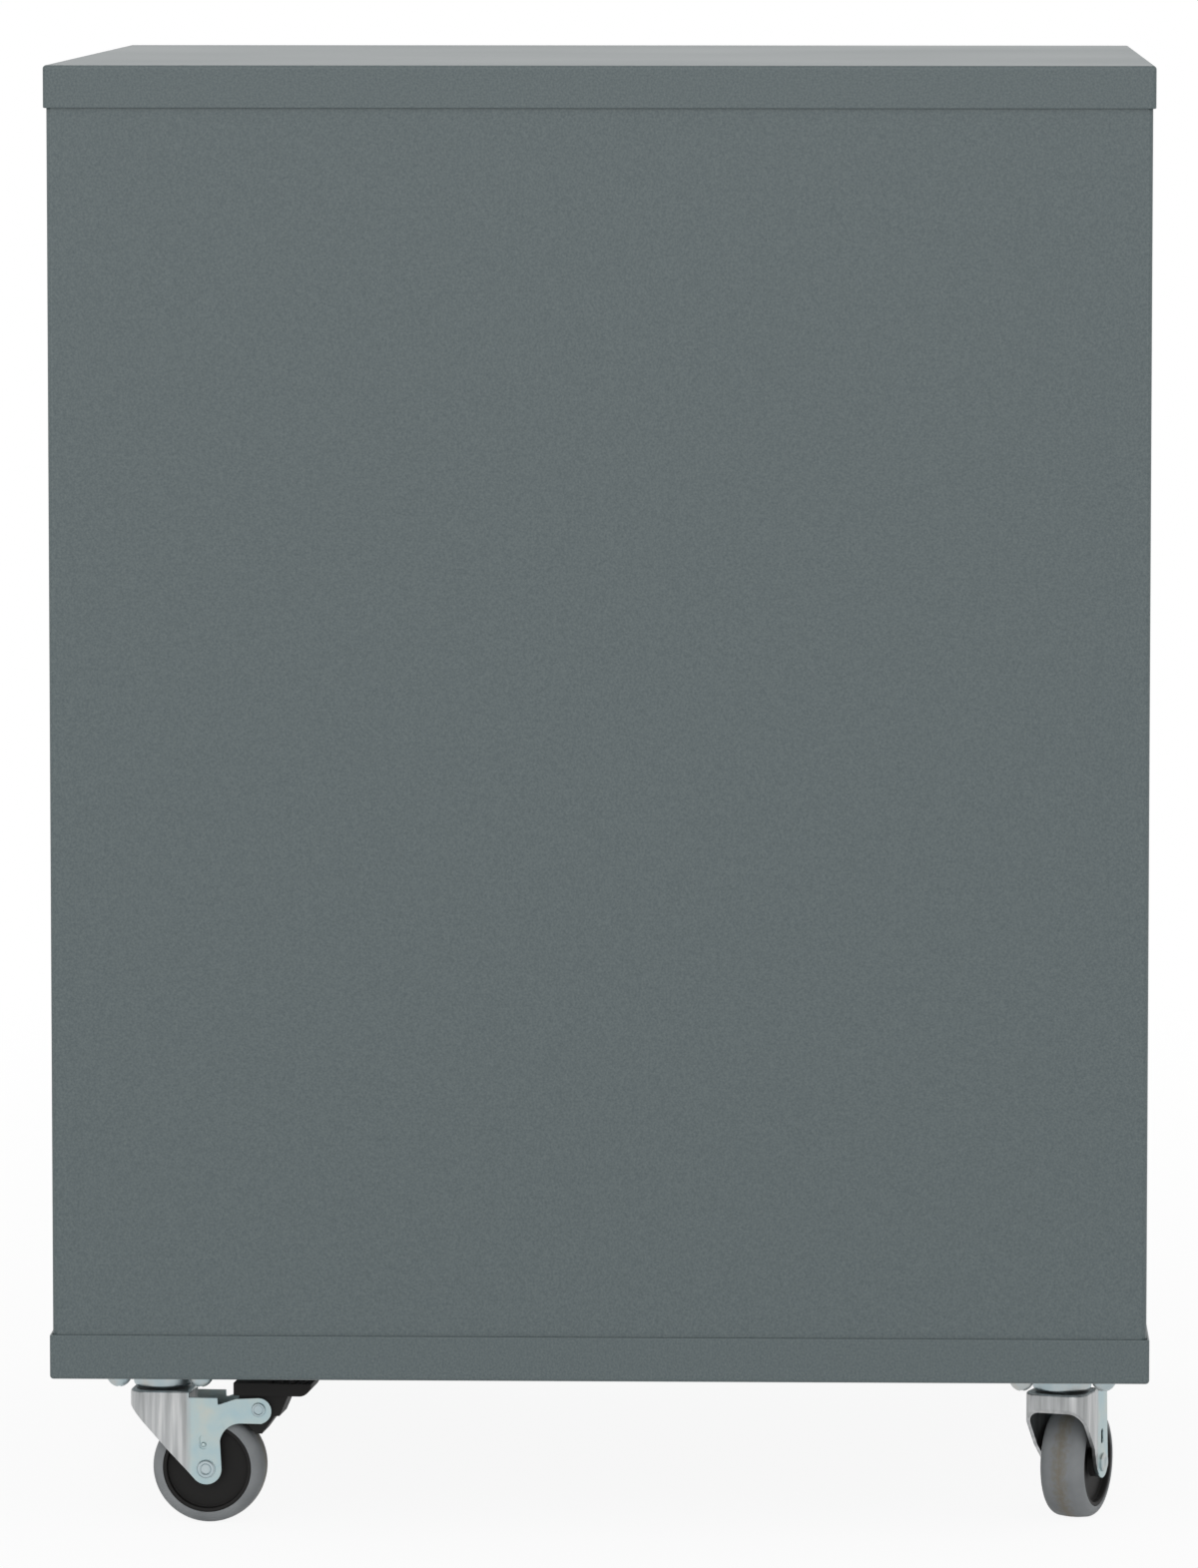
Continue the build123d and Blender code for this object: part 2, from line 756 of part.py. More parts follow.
# Carcass
save("body_shell", body_shell())
save("top_cap", Pos(0, 0, cap_top) * pan(cap_skirt))
save("base_tray", base_tray())
save("top_rail", top_rail())
save("middle_rail", middle_rail())
rear_upright = runner_rear - rear_upright_inset - upright_width
for side, sign in side_sign.items():
    front_post = upright(sign, upright_front)
    if side == "right":
        front_post += bar_keeper(finger_top("lower") + keeper_offset)
        front_post += bar_keeper(finger_top("upper") - keeper_offset)
    save(f"front_{side}_upright", front_post)
    save(f"rear_{side}_upright", upright(sign, rear_upright))

# Drawers and runners
members = runner_members()
for drawer in front_bottom:
    save(f"{drawer}_drawer_front", drawer_front(drawer))
    save(f"{drawer}_drawer_box", Compound(drawer_box(drawer)))
    save(f"{drawer}_pull", pull_cup(drawer))
    save(f"{drawer}_hanging_rails", Compound(hanging_rails(drawer)))
    runner_z = box_bottom(drawer) + runner_lift
    for side in side_sign:
        for member, solids in members.items():
            placed = [runner_place(solid, side, runner_z) for solid in solids]
            save(f"{drawer}_{side}_runner_{member}", Compound(placed))

# Lock
save("lock_barrel", lock_barrel())
save("lock_plug", lock_plug())
save("lock_cam", lock_cam())
save("lock_bar", lock_bar())

# Casters
screw = caster_screw()
nut = caster_nut()
save("caster_screws", Compound([Pos(x, y, 0) * screw for x, y in screw_points()]))
save("caster_nuts", Compound([Pos(x, y, 0) * nut for x, y in screw_points()]))
save("caster_king_pins", Compound([Pos(x, y, 0) * king_pin() for x, y in caster_places().values()]))
for name, (x, y) in caster_places().items():
    braked = name.startswith("front")
    place = Pos(x, y, 0)
    turn = place * Rot(0, 0, swivel_angle[name])
    save(f"{name}_plate", place * caster_plate())
    save(f"{name}_fork", turn * fork(braked))
    axle = rivet(axle_radius, rivet_head_radius, rivet_head, rivet_dimple_radius, rivet_dimple)
    save(f"{name}_axle", turn * crosswise(axle, trail, wheel_radius))
    save(f"{name}_hub", turn * crosswise(wheel_hub(), trail, wheel_radius))
    save(f"{name}_tyre", turn * crosswise(wheel_tyre(), trail, wheel_radius))
    if braked:
        head = pedal_pin_head_radius, pedal_pin_head
        pin = rivet(pedal_pin_radius, *head, pedal_pin_radius, pedal_pin_dimple)
        save(f"{name}_pedal", turn * pedal())
        save(f"{name}_pedal_pin", turn * crosswise(pin, pivot_reach, pivot_height))
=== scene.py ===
import json
import math

import bmesh
import bpy
from mathutils import Matrix, Vector


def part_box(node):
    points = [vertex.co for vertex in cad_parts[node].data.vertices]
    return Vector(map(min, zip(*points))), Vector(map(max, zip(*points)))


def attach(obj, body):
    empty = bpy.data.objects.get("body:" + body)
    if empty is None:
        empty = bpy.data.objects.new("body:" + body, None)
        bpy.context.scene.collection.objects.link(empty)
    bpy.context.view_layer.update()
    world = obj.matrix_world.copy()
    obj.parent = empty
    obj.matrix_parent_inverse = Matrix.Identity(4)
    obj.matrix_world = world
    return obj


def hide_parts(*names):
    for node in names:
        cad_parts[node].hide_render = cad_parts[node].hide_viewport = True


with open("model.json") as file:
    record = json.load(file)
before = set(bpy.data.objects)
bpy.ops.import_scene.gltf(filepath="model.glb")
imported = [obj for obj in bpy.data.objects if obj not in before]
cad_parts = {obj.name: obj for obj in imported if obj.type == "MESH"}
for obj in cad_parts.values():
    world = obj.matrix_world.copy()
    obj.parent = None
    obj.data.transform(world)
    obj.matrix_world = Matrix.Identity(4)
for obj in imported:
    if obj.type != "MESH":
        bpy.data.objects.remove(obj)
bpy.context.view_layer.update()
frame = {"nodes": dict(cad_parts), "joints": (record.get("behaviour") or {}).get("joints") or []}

# Body shell, top cap and base tray: folded steel sheet, 1.2 mm thick. The shell is both sides and the back
# in one piece, and the two shallow pans slip over its ends. All are welded, then sprayed with powder and
# baked, so every edge carries a soft film of paint.
MM = 0.001
PAINTED_EDGE = 0.45
EDGE_SEGMENTS = 2
SHARP_ANGLE = 40
WELD_REACH = 0.001


def linear(hex_colour):
    """An sRGB hex colour as linear RGBA."""
    channels = [int(hex_colour[start:start + 2], 16) / 255 for start in (1, 3, 5)]
    return [c / 12.92 if c <= 0.04045 else ((c + 0.055) / 1.055) ** 2.4 for c in channels] + [1.0]


def add(material, kind, settings=(), links=(), stops=()):
    """Add one shader node, with its fields and sockets set, its inputs linked and its ramp coloured."""
    node = material.node_tree.nodes.new("ShaderNode" + kind)
    for name, value in dict(settings).items():
        if isinstance(name, str) and hasattr(node, name):
            setattr(node, name, value)
        else:
            node.inputs[name].default_value = value
    for name, socket in dict(links).items():
        material.node_tree.links.new(socket, node.inputs[name])
    for index, (position, colour) in enumerate(stops):
        ramp = node.color_ramp.elements
        stop = ramp[index] if index < 2 else ramp.new(position)
        stop.position = position
        stop.color = colour
    return node


def start_material(name, settings):
    """A new material whose shader has these even values. Patterns are linked to it afterwards."""
    material = bpy.data.materials.new(name)
    material.use_nodes = True
    shader = material.node_tree.nodes["Principled BSDF"]
    for socket, value in settings.items():
        shader.inputs[socket].default_value = value
    return material, shader


def join(material, socket, shader, name):
    """Link a pattern to a socket of the shader."""
    material.node_tree.links.new(socket, shader.inputs[name])


def per_metre(size_mm):
    """Pattern scale for a grain of this size, as coordinates are in metres."""
    return 1 / (size_mm * MM)


# Polyester powder coat, baked to a fine texture: a satin film whose grains show as faint light and dark
# specks. The real grit is about 0.4 mm. It is drawn at 0.9 mm, because finer grains vanish in the render.
POWDER_GRAIN = 0.9
POWDER_RELIEF = 0.05
POWDER_CLOUD = 160
powder_coat, shader = start_material("polyester_powder_coat", {"IOR": 1.5})
place = add(powder_coat, "TexCoord").outputs["Object"]
grain = add(powder_coat, "TexNoise", {"Scale": per_metre(POWDER_GRAIN), "Detail": 2.0}, {"Vector": place})
cloud = add(powder_coat, "TexNoise", {"Scale": per_metre(POWDER_CLOUD), "Detail": 1.0}, {"Vector": place})
speck = add(powder_coat, "ValToRGB", links={"Fac": grain.outputs["Fac"]},
            stops=[(0.25, linear("#4b575a")), (0.75, linear("#626d6e"))])
gloss = add(powder_coat, "MapRange", {"To Min": 0.32, "To Max": 0.42}, {"Value": cloud.outputs["Fac"]})
film = add(powder_coat, "Bump", {"Strength": 0.25, "Distance": POWDER_RELIEF * MM},
           {"Height": grain.outputs["Fac"]})
join(powder_coat, speck.outputs["Color"], shader, "Base Color")
join(powder_coat, gloss.outputs["Result"], shader, "Roughness")
join(powder_coat, film.outputs["Normal"], shader, "Normal")


def dress(names, material, edge_mm=0.0):
    """Give CAD pieces a finish and, where their edges are soft, weld their faces and round the edges."""
    for name in names:
        node = frame["nodes"][name]
        if not node.material_slots:
            node.data.materials.append(material)
        for slot in node.material_slots:
            slot.material = material
        if edge_mm:
            seam = node.modifiers.new("seam", "WELD")
            seam.merge_threshold = WELD_REACH * MM
            rounding = node.modifiers.new("edge", "BEVEL")
            rounding.width = edge_mm * MM
            rounding.segments = EDGE_SEGMENTS
            rounding.limit_method = "ANGLE"
            rounding.angle_limit = math.radians(SHARP_ANGLE)
            rounding.harden_normals = True


dress(["body_shell", "top_cap", "base_tray"], powder_coat, PAINTED_EDGE)

# Rails and uprights: folded strips welded inside the shell. The top rail carries the lock, the middle rail
# stands between the drawers, and the four uprights carry the runners.
UPRIGHTS = [f"{end}_{side}_upright" for end in ("front", "rear") for side in ("left", "right")]
dress(["top_rail", "middle_rail", *UPRIGHTS], powder_coat, PAINTED_EDGE)

# Drawers: a pan-shaped front spot-welded to an open box of thinner sheet, with a pressed pull cup let into
# the front. They are coated in the same colour as the shell, inside and out.
DRAWERS = ("upper", "lower")
dress([f"{drawer}_drawer_front" for drawer in DRAWERS], powder_coat, PAINTED_EDGE)
dress([f"{drawer}_drawer_box" for drawer in DRAWERS], powder_coat, PAINTED_EDGE)
dress([f"{drawer}_pull" for drawer in DRAWERS], powder_coat, PAINTED_EDGE)

# Runners and hanging rails: roll-formed steel strip, plated before forming. The rails clip over the drawer
# sides, and three runner members on each side nest into each other on caged balls.
RUNNERS = [
    f"{drawer}_{side}_runner_{member}"
    for drawer in DRAWERS for side in ("left", "right") for member in ("outer", "middle", "inner")
]

# Bright zinc on rolled strip: a smooth pale metal with faint lines along the strip, left by the forming
# rolls. The lines are about 1.5 mm apart and run on for 200 mm or so.
ROLL_LINE = 1.5
ROLL_LENGTH = 200
ROLL_RELIEF = 0.02
rolled_zinc, shader = start_material("roll_formed_zinc", {"Metallic": 1.0})
place = add(rolled_zinc, "TexCoord").outputs["Object"]
drawn = add(rolled_zinc, "VectorMath", {"operation": "MULTIPLY", 1: (1, ROLL_LINE / ROLL_LENGTH, 1)},
            {0: place})
line = add(rolled_zinc, "TexNoise", {"Scale": per_metre(ROLL_LINE), "Detail": 3.0},
           {"Vector": drawn.outputs["Vector"]})
tint = add(rolled_zinc, "ValToRGB", links={"Fac": line.outputs["Fac"]},
           stops=[(0.3, linear("#a4afb3")), (0.7, linear("#b9c0c2"))])
gloss = add(rolled_zinc, "MapRange", {"To Min": 0.26, "To Max": 0.42}, {"Value": line.outputs["Fac"]})
ridges = add(rolled_zinc, "Bump", {"Strength": 0.2, "Distance": ROLL_RELIEF * MM},
             {"Height": line.outputs["Fac"]})
join(rolled_zinc, tint.outputs["Color"], shader, "Base Color")
join(rolled_zinc, gloss.outputs["Result"], shader, "Roughness")
join(rolled_zinc, ridges.outputs["Normal"], shader, "Normal")
dress([*RUNNERS, *[f"{drawer}_hanging_rails" for drawer in DRAWERS]], rolled_zinc)

# Runner rivets: low domed rivets of mild steel, headed cold and zinc plated in a barrel. Three in each inner
# member go through its web into the side of the drawer.
RIVET_RADIUS = 4.0
RIVET_RISE = 1.5
RIVET_SEGMENTS = 32
RIVET_PLACES = (0.08, 0.4, 0.82)
RUNNER_SHEET = 1.2
DOME_STEPS = 8

# Bright zinc plate with a blue passivation: a pale satin metal, cool over most of it and warmer where the
# film is thin. The clouds are some 9 mm across, and the rolled grain under the plate about 0.5 mm.
ZINC_CLOUD = 9
ZINC_GRAIN = 0.5
ZINC_RELIEF = 0.02
zinc_plate, shader = start_material("blue_zinc_plate", {"Metallic": 1.0})
place = add(zinc_plate, "TexCoord").outputs["Object"]
cloud = add(zinc_plate, "TexNoise", {"Scale": per_metre(ZINC_CLOUD), "Detail": 3.0}, {"Vector": place})
grain = add(zinc_plate, "TexNoise", {"Scale": per_metre(ZINC_GRAIN), "Detail": 2.0}, {"Vector": place})
tint = add(zinc_plate, "ValToRGB", links={"Fac": cloud.outputs["Fac"]},
           stops=[(0.3, linear("#a5b6bb")), (0.52, linear("#b3bec1")), (0.75, linear("#bfbeb9"))])
gloss = add(zinc_plate, "MapRange", {"To Min": 0.3, "To Max": 0.5}, {"Value": grain.outputs["Fac"]})
rolled = add(zinc_plate, "Bump", {"Strength": 0.2, "Distance": ZINC_RELIEF * MM},
             {"Height": grain.outputs["Fac"]})
join(zinc_plate, tint.outputs["Color"], shader, "Base Color")
join(zinc_plate, gloss.outputs["Result"], shader, "Roughness")
join(zinc_plate, rolled.outputs["Normal"], shader, "Normal")


def lathe(name, section, centre, axis, steps, material):
    """Closed turned piece from a section of (radius, along) points in mm, about an axis through a centre."""
    turn = Vector((0, 0, 1)).rotation_difference(Vector(axis)).to_matrix().to_4x4()
    mesh = bpy.data.meshes.new(name)
    shape = bmesh.new()
    across_layer = shape.verts.layers.float.new("across")
    widest = max(abs(along) for _, along in section)
    rings = []
    for step in range(steps):
        angle = 2 * math.pi * step / steps
        ring = []
        for radius, along in section:
            spot = Vector((radius * math.cos(angle), radius * math.sin(angle), along)) * MM
            corner = shape.verts.new(spot)
            corner[across_layer] = abs(along) / widest
            ring.append(corner)
        rings.append(ring)
    for ring, following in zip(rings, rings[1:] + rings[:1]):
        for index in range(len(section)):
            after = (index + 1) % len(section)
            face = shape.faces.new((ring[index], following[index], following[after], ring[after]))
            face.smooth = True
    bmesh.ops.remove_doubles(shape, verts=shape.verts, dist=WELD_REACH * MM)
    bmesh.ops.recalc_face_normals(shape, faces=shape.faces)
    shape.to_mesh(mesh)
    shape.free()
    mesh.transform(Matrix.Translation(centre) @ turn)
    mesh.materials.append(material)
    piece = bpy.data.objects.new(name, mesh)
    bpy.context.scene.collection.objects.link(piece)
    return piece


def dome(radius, rise):
    """Section of a low dome on a flat base, as (radius, along) points in mm."""
    points = [(0.0, 0.0), (radius, 0.0)]
    for step in range(1, DOME_STEPS + 1):
        turn = math.pi / 2 * step / DOME_STEPS
        points.append((radius * math.cos(turn), rise * math.sin(turn)))
    return points


rivet_section = dome(RIVET_RADIUS, RIVET_RISE)
for drawer in DRAWERS:
    for side, outward in (("left", -1), ("right", 1)):
        low, high = (Vector(point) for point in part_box(f"{drawer}_{side}_runner_inner"))
        drawer_face = low.x if outward > 0 else high.x
        for index, share in enumerate(RIVET_PLACES):
            spot = Vector((
                drawer_face + outward * RUNNER_SHEET * MM,
                low.y + share * (high.y - low.y),
                (low.z + high.z) / 2,
            ))
            name = f"{drawer}_{side}_runner_rivet_{index}"
            rivet = lathe(name, rivet_section, spot, (outward, 0, 0), RIVET_SEGMENTS, zinc_plate)
            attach(rivet, f"{drawer}_drawer")

# Lock: a turned brass barrel and plug, nickel and chrome plated, in the top rail. The plated steel cam on
# its back works a flat bar that reaches down to both drawers.
TURNED_EDGE = 0.2
joints = {joint["name"]: joint for joint in frame["joints"]}
lock_centre = Vector(joints["lock_turn"]["pos_m"])

# Satin chrome over turned brass: a clear grey metal with fine rings round the keyway, left by the lathe. The
# real rings are about 0.1 mm apart. They are drawn at 0.4 mm, because finer ones vanish in the render.
LATHE_RING = 0.4
LATHE_RELIEF = 0.02
chrome, shader = start_material("satin_chrome_on_brass", {"Metallic": 1.0})
place = add(chrome, "TexCoord").outputs["Object"]
offset = add(chrome, "VectorMath", {"operation": "SUBTRACT", 1: lock_centre}, {0: place})
flat = add(chrome, "VectorMath", {"operation": "MULTIPLY", 1: (1, 0, 1)}, {0: offset.outputs["Vector"]})
radius = add(chrome, "VectorMath", {"operation": "LENGTH"}, {0: flat.outputs["Vector"]})
ring = add(chrome, "TexNoise", {"noise_dimensions": "1D", "Scale": per_metre(LATHE_RING), "Detail": 2.0},
           {"W": radius.outputs["Value"]})
tint = add(chrome, "ValToRGB", links={"Fac": ring.outputs["Fac"]},
           stops=[(0.3, linear("#a3a6a8")), (0.7, linear("#c0c2c3"))])
gloss = add(chrome, "MapRange", {"To Min": 0.14, "To Max": 0.3}, {"Value": ring.outputs["Fac"]})
turned = add(chrome, "Bump", {"Strength": 0.3, "Distance": LATHE_RELIEF * MM},
             {"Height": ring.outputs["Fac"]})
join(chrome, tint.outputs["Color"], shader, "Base Color")
join(chrome, gloss.outputs["Result"], shader, "Roughness")
join(chrome, turned.outputs["Normal"], shader, "Normal")
dress(["lock_barrel", "lock_plug"], chrome, TURNED_EDGE)
dress(["lock_cam", "lock_bar"], zinc_plate)

# Casters: a pressed plate with a dished ball race, bolted through the base tray, and a stamped fork that
# hangs from it on a king pin. The axle is riveted over at both ends. All of it is zinc plated.
CASTERS = [f"{end}_{side}" for end in ("front", "rear") for side in ("left", "right")]
BRAKED = [caster for caster in CASTERS if caster.startswith("front")]
FORK_EDGE = 0.3
dress(["caster_screws", "caster_nuts", "caster_king_pins"], zinc_plate)
dress([f"{caster}_plate" for caster in CASTERS], zinc_plate, FORK_EDGE)
dress([f"{caster}_axle" for caster in CASTERS], zinc_plate)

# Zinc plate over a deep bend: the front of each fork was drawn round a die. That curved front is painted
# greyer, with fine upright streaks about 2.5 mm wide: a painted reflection of the surroundings in the curve,
# and partly the die's marks. The flat legs keep the cool plate. Where the bend ends is measured
# backwards from the king pin.
STREAK_WIDTH = 2.5
STREAK_LENGTH = 40
BEND_END = 13.5
BEND_FADE = 1.5

fork_zinc = {}


def swivel_line(caster):
    """Where a caster's king pin is, and the level direction from there to the axle."""
    king_pin = Vector(joints[f"{caster}_swivel"]["pos_m"])
    heading = Vector(joints[f"{caster}_roll"]["pos_m"]) - king_pin
    heading.z = 0
    return king_pin, heading.normalized()


for caster in CASTERS:
    king_pin, heading = swivel_line(caster)
    pressed_zinc, shader = start_material(f"pressed_zinc_{caster}", {"Metallic": 1.0})
    place = add(pressed_zinc, "TexCoord").outputs["Object"]
    offset = add(pressed_zinc, "VectorMath", {"operation": "SUBTRACT", 1: king_pin}, {0: place})
    back = add(pressed_zinc, "VectorMath", {"operation": "DOT_PRODUCT", 1: heading},
               {0: offset.outputs["Vector"]})
    # Painted reflection mask: 1 on the curved front of the fork, fading to 0 where the flat legs begin.
    fade_start = (BEND_END - BEND_FADE) * MM
    fade_end = (BEND_END + BEND_FADE) * MM
    bend = add(pressed_zinc, "MapRange",
               {"From Min": fade_start, "From Max": fade_end, "To Min": 1.0, "To Max": 0.0},
               {"Value": back.outputs["Value"]})
    upright = (1, 1, STREAK_WIDTH / STREAK_LENGTH)
    drawn = add(pressed_zinc, "VectorMath", {"operation": "MULTIPLY", 1: upright}, {0: place})
    # Upright streaks: partly the die's marks, partly painted reflection.
    streak_and_reflection = add(pressed_zinc, "TexNoise", {"Scale": per_metre(STREAK_WIDTH), "Detail": 3.0},
                 {"Vector": drawn.outputs["Vector"]})
    cloud = add(pressed_zinc, "TexNoise", {"Scale": per_metre(ZINC_CLOUD), "Detail": 3.0}, {"Vector": place})
    grain = add(pressed_zinc, "TexNoise", {"Scale": per_metre(ZINC_GRAIN), "Detail": 2.0}, {"Vector": place})
    flat = add(pressed_zinc, "ValToRGB", links={"Fac": cloud.outputs["Fac"]},
               stops=[(0.3, linear("#a4bac0")), (0.52, linear("#aebebf")), (0.75, linear("#b8bfba"))])
    # Painted reflection: the greyer, streaked tone put on the curved front in place of what it reflects.
    painted_reflection = add(pressed_zinc, "ValToRGB", links={"Fac": streak_and_reflection.outputs["Fac"]},
               stops=[(0.28, linear("#979999")), (0.5, linear("#aeb0b1")), (0.72, linear("#c9caca"))])
    tint = add(pressed_zinc, "Mix", {"data_type": "RGBA"},
               {0: bend.outputs["Result"], 6: flat.outputs["Color"], 7: painted_reflection.outputs["Color"]})
    gloss = add(pressed_zinc, "MapRange", {"To Min": 0.24, "To Max": 0.46}, {"Value": grain.outputs["Fac"]})
    rolled = add(pressed_zinc, "Bump", {"Strength": 0.2, "Distance": ZINC_RELIEF * MM},
                 {"Height": grain.outputs["Fac"]})
    join(pressed_zinc, tint.outputs[2], shader, "Base Color")
    join(pressed_zinc, gloss.outputs["Result"], shader, "Roughness")
    join(pressed_zinc, rolled.outputs["Normal"], shader, "Normal")
    dress([f"{caster}_fork"], pressed_zinc, FORK_EDGE)
    fork_zinc[caster] = pressed_zinc

# Nibs: on a braked fork, a small dome struck up from the sheet in each leg's pressed slot. It stands above
# the axle and a little ahead of it, and its foot is sunk below the face of the leg.
NIB_RADIUS = 1.15
NIB_RISE = 0.85
NIB_SINK = 0.35
NIB_SEGMENTS = 24
NIB_LEAD = 1.2
NIB_LIFT = 10.7
LEG_FACE = 12.3
nib_section = dome(NIB_RADIUS, NIB_RISE)
for caster in BRAKED:
    heading = swivel_line(caster)[1]
    axle = joints[f"{caster}_roll"]
    across = Vector(axle["axis"])
    nib_middle = Vector(axle["pos_m"]) - heading * NIB_LEAD * MM
    nib_middle.z += NIB_LIFT * MM
    for leg, outward in (("near", across), ("far", -across)):
        spot = nib_middle + outward * (LEG_FACE - NIB_SINK) * MM
        name = f"{caster}_fork_nib_{leg}"
        nib = lathe(name, nib_section, spot, outward, NIB_SEGMENTS, fork_zinc[caster])
        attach(nib, f"{caster}_swivel")

# Hubs and pedals: moulded in black polypropylene. The hubs turn on the axle rivets, and each pedal turns on a
# plated steel pin between the arms of a braked fork.
MOULDED_EDGE = 0.5

# Polypropylene from an eroded mould: a dull black skin with a fine grit that breaks up its gloss. The real
# grit is about 0.1 mm. It is drawn at 0.6 mm, because finer grit vanishes in the render.
MOULD_GRAIN = 0.6
MOULD_RELIEF = 0.04
black_plastic, shader = start_material(
    "moulded_polypropylene", {"IOR": 1.49, "Specular IOR Level": 0.25, "Base Color": linear("#151413")}
)
place = add(black_plastic, "TexCoord").outputs["Object"]
grain = add(black_plastic, "TexNoise", {"Scale": per_metre(MOULD_GRAIN), "Detail": 2.0}, {"Vector": place})
gloss = add(black_plastic, "MapRange", {"To Min": 0.5, "To Max": 0.68}, {"Value": grain.outputs["Fac"]})
eroded = add(black_plastic, "Bump", {"Strength": 0.3, "Distance": MOULD_RELIEF * MM},
             {"Height": grain.outputs["Fac"]})
join(black_plastic, gloss.outputs["Result"], shader, "Roughness")
join(black_plastic, eroded.outputs["Normal"], shader, "Normal")
dress([f"{caster}_hub" for caster in CASTERS], black_plastic, MOULDED_EDGE)
dress([f"{caster}_pedal" for caster in BRAKED], black_plastic, MOULDED_EDGE)
dress([f"{caster}_pedal_pin" for caster in BRAKED], zinc_plate)

# Tyres: soft grey rubber moulded round the rim, with rounded shoulders and the mould's parting line left
# as a shallow groove in the middle of the tread.
TYRE_RADIUS = 25.0
TYRE_RIM = 19.7
TYRE_HALF = 10.0
SHOULDER = 4.8
SHOULDER_STEPS = 10
TREAD_DROP = 0.4
TREAD_STEPS = 4
PARTING_HALF = 0.5
PARTING_DEPTH = 0.15
TYRE_STEPS = 96

# Thermoplastic rubber, moulded matt: an even mid grey with a faint bloom, and dust held along the parting
# line. The real grain is about 0.2 mm. It is drawn at 0.8 mm, because finer grain vanishes in the render. The
# dust's width is a share of the tyre's own across value, 0 in the middle of the tread and 1 at the sidewall.
RUBBER_GRAIN = 0.8
RUBBER_RELIEF = 0.04
RUBBER_BLOOM = 14
DUST_FLECK = 1.8
DUST_RAGGED = 0.4
DUST_WIDTH = 0.42
DUST_COVER = 0.75
rubber, shader = start_material("grey_thermoplastic_rubber", {"IOR": 1.5})
place = add(rubber, "TexCoord").outputs["Object"]
across = add(rubber, "Attribute", {"attribute_name": "across"}).outputs["Fac"]
grain = add(rubber, "TexNoise", {"Scale": per_metre(RUBBER_GRAIN), "Detail": 2.0}, {"Vector": place})
bloom = add(rubber, "TexNoise", {"Scale": per_metre(RUBBER_BLOOM), "Detail": 3.0}, {"Vector": place})
body = add(rubber, "ValToRGB", links={"Fac": bloom.outputs["Fac"]},
           stops=[(0.3, linear("#7c7f81")), (0.7, linear("#8b8e90"))])
fleck = add(rubber, "TexNoise", {"Scale": per_metre(DUST_FLECK), "Detail": 3.0}, {"Vector": place})
ragged = add(rubber, "MapRange", {"To Min": -DUST_RAGGED, "To Max": DUST_RAGGED},
             {"Value": fleck.outputs["Fac"]})
edge = add(rubber, "Math", {"operation": "ADD"}, {0: across, 1: ragged.outputs["Result"]})
dust = add(rubber, "MapRange", {"From Min": 0.0, "From Max": DUST_WIDTH, "To Min": DUST_COVER, "To Max": 0.0},
           {"Value": edge.outputs["Value"]})
worn = add(rubber, "Mix", {"data_type": "RGBA", 7: linear("#7a7262")},
           {0: dust.outputs["Result"], 6: body.outputs["Color"]})
gloss = add(rubber, "MapRange", {"To Min": 0.55, "To Max": 0.75}, {"Value": grain.outputs["Fac"]})
skin = add(rubber, "Bump", {"Strength": 0.25, "Distance": RUBBER_RELIEF * MM},
           {"Height": grain.outputs["Fac"]})
join(rubber, worn.outputs[2], shader, "Base Color")
join(rubber, gloss.outputs["Result"], shader, "Roughness")
join(rubber, skin.outputs["Normal"], shader, "Normal")


def tyre_outline():
    """Half of the tyre's section as (radius, across) in mm, from the tread's middle round to the rim."""
    points = [(TYRE_RADIUS - PARTING_DEPTH, 0.0)]
    tread_half = TYRE_HALF - SHOULDER
    for step in range(TREAD_STEPS):
        share = step / TREAD_STEPS
        across_tread = PARTING_HALF + share * (tread_half - PARTING_HALF)
        points.append((TYRE_RADIUS - TREAD_DROP * (across_tread / tread_half) ** 2, across_tread))
    for step in range(SHOULDER_STEPS + 1):
        turn = math.pi / 2 * step / SHOULDER_STEPS
        radius = TYRE_RADIUS - TREAD_DROP - SHOULDER * (1 - math.cos(turn))
        points.append((radius, TYRE_HALF - SHOULDER * (1 - math.sin(turn))))
    points.append((TYRE_RIM, TYRE_HALF))
    return points


half = tyre_outline()
tyre_section = [(radius, -along) for radius, along in reversed(half[1:])] + half
for caster in CASTERS:
    axle = joints[f"{caster}_roll"]
    name = f"{caster}_moulded_tyre"
    tyre = lathe(name, tyre_section, Vector(axle["pos_m"]), axle["axis"], TYRE_STEPS, rubber)
    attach(tyre, f"{caster}_wheel")
    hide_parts(f"{caster}_tyre")

# Studio: a white floor, an even white room and one broad soft light above the near side. Seen straight or in
# a reflection, floor and room are plain white, apart from the faint shadow that the floor keeps near the
# casters.
FLOOR_SIZE = 40.0
FLOOR_GLOW = 0.92
SHADOW_REACH = 0.5
SHADOW_END = 1.8
floor_mesh = bpy.data.meshes.new("floor")
corner = FLOOR_SIZE / 2
floor_corners = [(-corner, -corner, 0), (corner, -corner, 0), (corner, corner, 0), (-corner, corner, 0)]
floor_mesh.from_pydata(floor_corners, [], [(0, 1, 2, 3)])
floor = bpy.data.objects.new("floor", floor_mesh)
bpy.context.scene.collection.objects.link(floor)
white_floor, shader = start_material("white_floor", {"Base Color": linear("#f4f4f4"), "Roughness": 0.9})
paths = add(white_floor, "LightPath")
seen = add(white_floor, "Math", {"operation": "MAXIMUM"},
           {0: paths.outputs["Is Camera Ray"], 1: paths.outputs["Is Glossy Ray"]})
clear = add(white_floor, "Math", {"operation": "MAXIMUM"},
            {0: seen.outputs["Value"], 1: paths.outputs["Is Transmission Ray"]})
place = add(white_floor, "TexCoord").outputs["Object"]
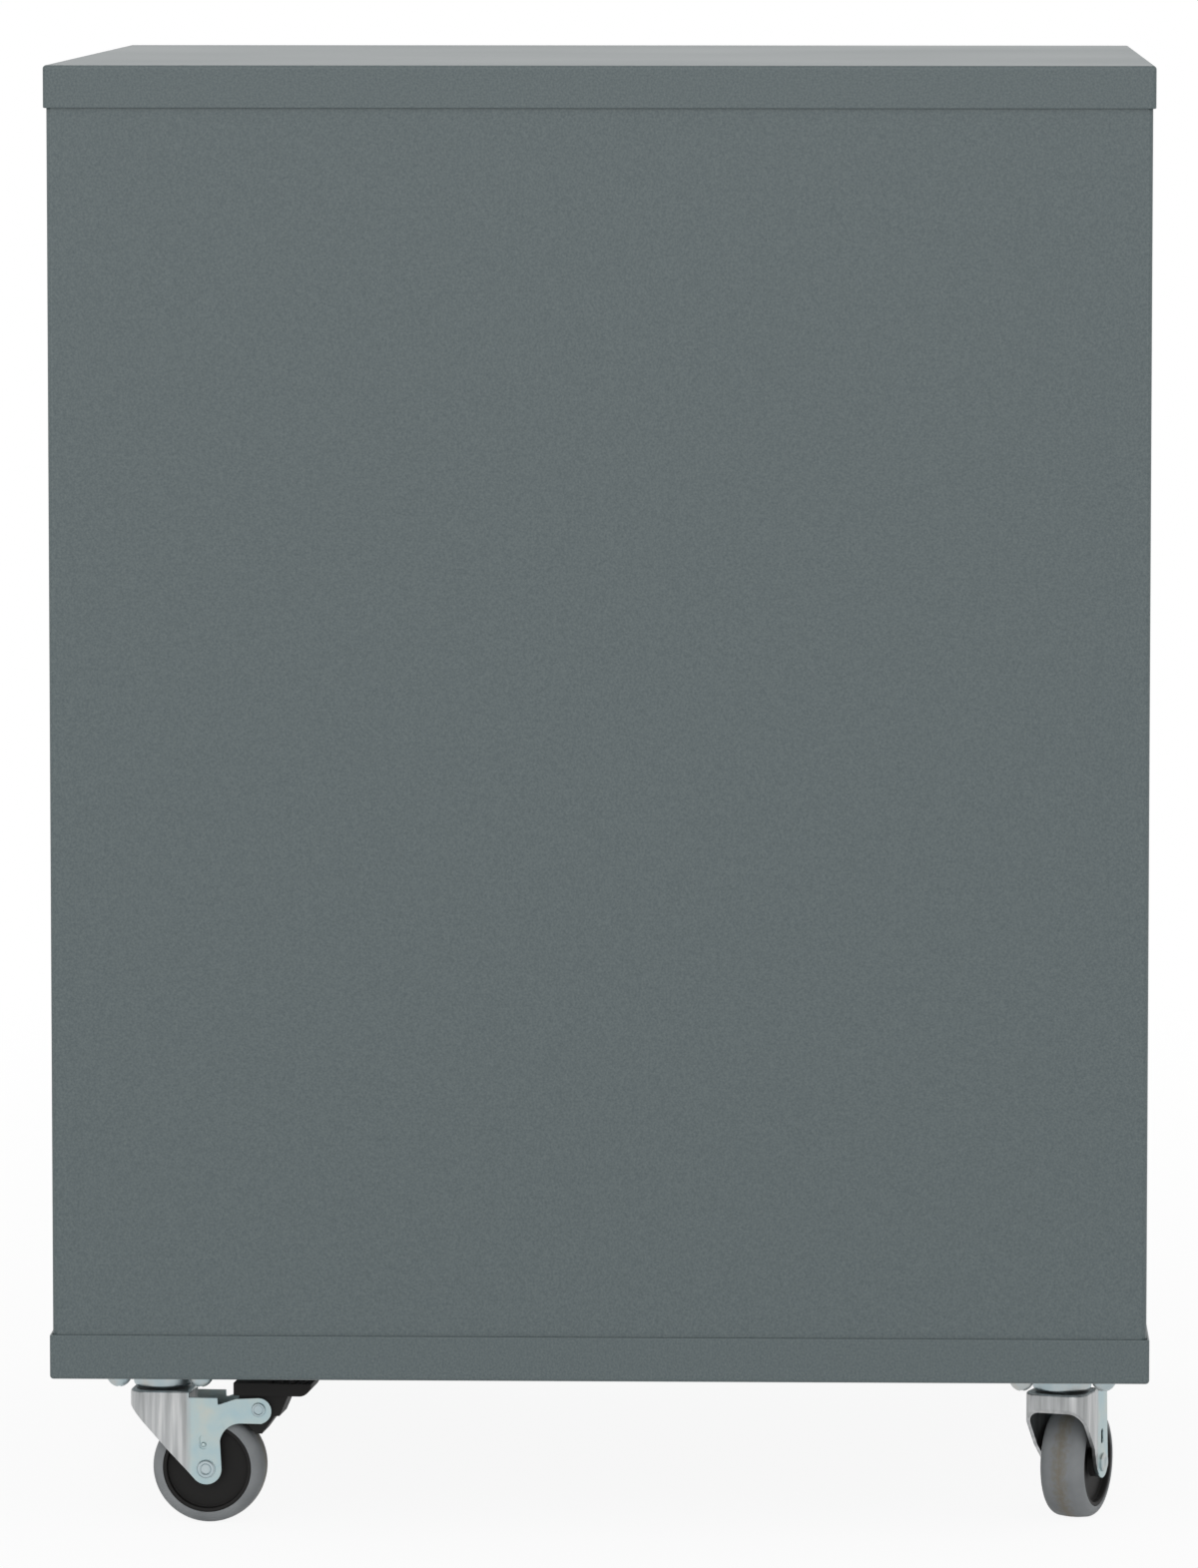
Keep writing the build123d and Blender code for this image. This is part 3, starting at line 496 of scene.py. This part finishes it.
away = add(white_floor, "VectorMath", {"operation": "LENGTH"}, {0: place})
fade = add(white_floor, "MapRange", {"From Min": SHADOW_REACH, "From Max": SHADOW_END, "To Min": FLOOR_GLOW},
           {"Value": away.outputs["Value"]})
share = add(white_floor, "Math", {"operation": "MULTIPLY"},
            {0: clear.outputs["Value"], 1: fade.outputs["Result"]})
white = add(white_floor, "Emission", {"Color": linear("#ffffff"), "Strength": 1.0})
mixed = add(white_floor, "MixShader", links={0: share.outputs["Value"], 1: shader.outputs["BSDF"],
                                             2: white.outputs["Emission"]})
join(white_floor, mixed.outputs["Shader"], white_floor.node_tree.nodes["Material Output"], "Surface")
floor_mesh.materials.append(white_floor)

ROOM_LIGHT = 0.75
room = bpy.data.worlds.new("white_room")
bpy.context.scene.world = room
room.use_nodes = True
paths = add(room, "LightPath")
seen = add(room, "Math", {"operation": "MAXIMUM"},
           {0: paths.outputs["Is Camera Ray"], 1: paths.outputs["Is Glossy Ray"]})
clear = add(room, "Math", {"operation": "MAXIMUM"},
            {0: seen.outputs["Value"], 1: paths.outputs["Is Transmission Ray"]})
level = add(room, "MapRange", {"To Min": ROOM_LIGHT, "To Max": 1.0}, {"Value": clear.outputs["Value"]})
background = room.node_tree.nodes["Background"]
background.inputs["Color"].default_value = linear("#ffffff")
join(room, level.outputs["Result"], background, "Strength")


def aim(piece, target):
    """Turn a light or the camera towards a point."""
    piece.rotation_euler = (Vector(target) - piece.location).to_track_quat("-Z", "Y").to_euler()


SOFTBOX_SIZE = 6.0
SOFTBOX_POWER = 90.0
SOFTBOX_PLACE = (5.8, -0.5, 3.2)
SOFTBOX_TARGET = (0, 0, 0.35)
softbox_light = bpy.data.lights.new("softbox", "AREA")
softbox_light.size = SOFTBOX_SIZE
softbox_light.energy = SOFTBOX_POWER
softbox = bpy.data.objects.new("softbox", softbox_light)
softbox.location = SOFTBOX_PLACE
aim(softbox, SOFTBOX_TARGET)
bpy.context.scene.collection.objects.link(softbox)

# Camera: a little above the top of the cabinet and about 4 m from its near side, almost square to it, with a
# long lens, as in the photograph. The focal length is in pixels of the 1200 by 1571 frame.
IMAGE_HEIGHT = 1571
FOCAL_PIXELS = 9447.3
SENSOR = 36.0
CAMERA_PLACE = (4.3038, 0.1252, 0.7259)
CAMERA_TARGET = (0.235, 0.0002, 0.3312)
lens = bpy.data.cameras.new("camera")
lens.sensor_width = SENSOR
lens.lens = FOCAL_PIXELS * SENSOR / IMAGE_HEIGHT
camera = bpy.data.objects.new("camera", lens)
camera.location = CAMERA_PLACE
aim(camera, CAMERA_TARGET)
bpy.context.scene.collection.objects.link(camera)
bpy.context.scene.camera = camera
bpy.context.scene.view_settings.view_transform = "Standard"
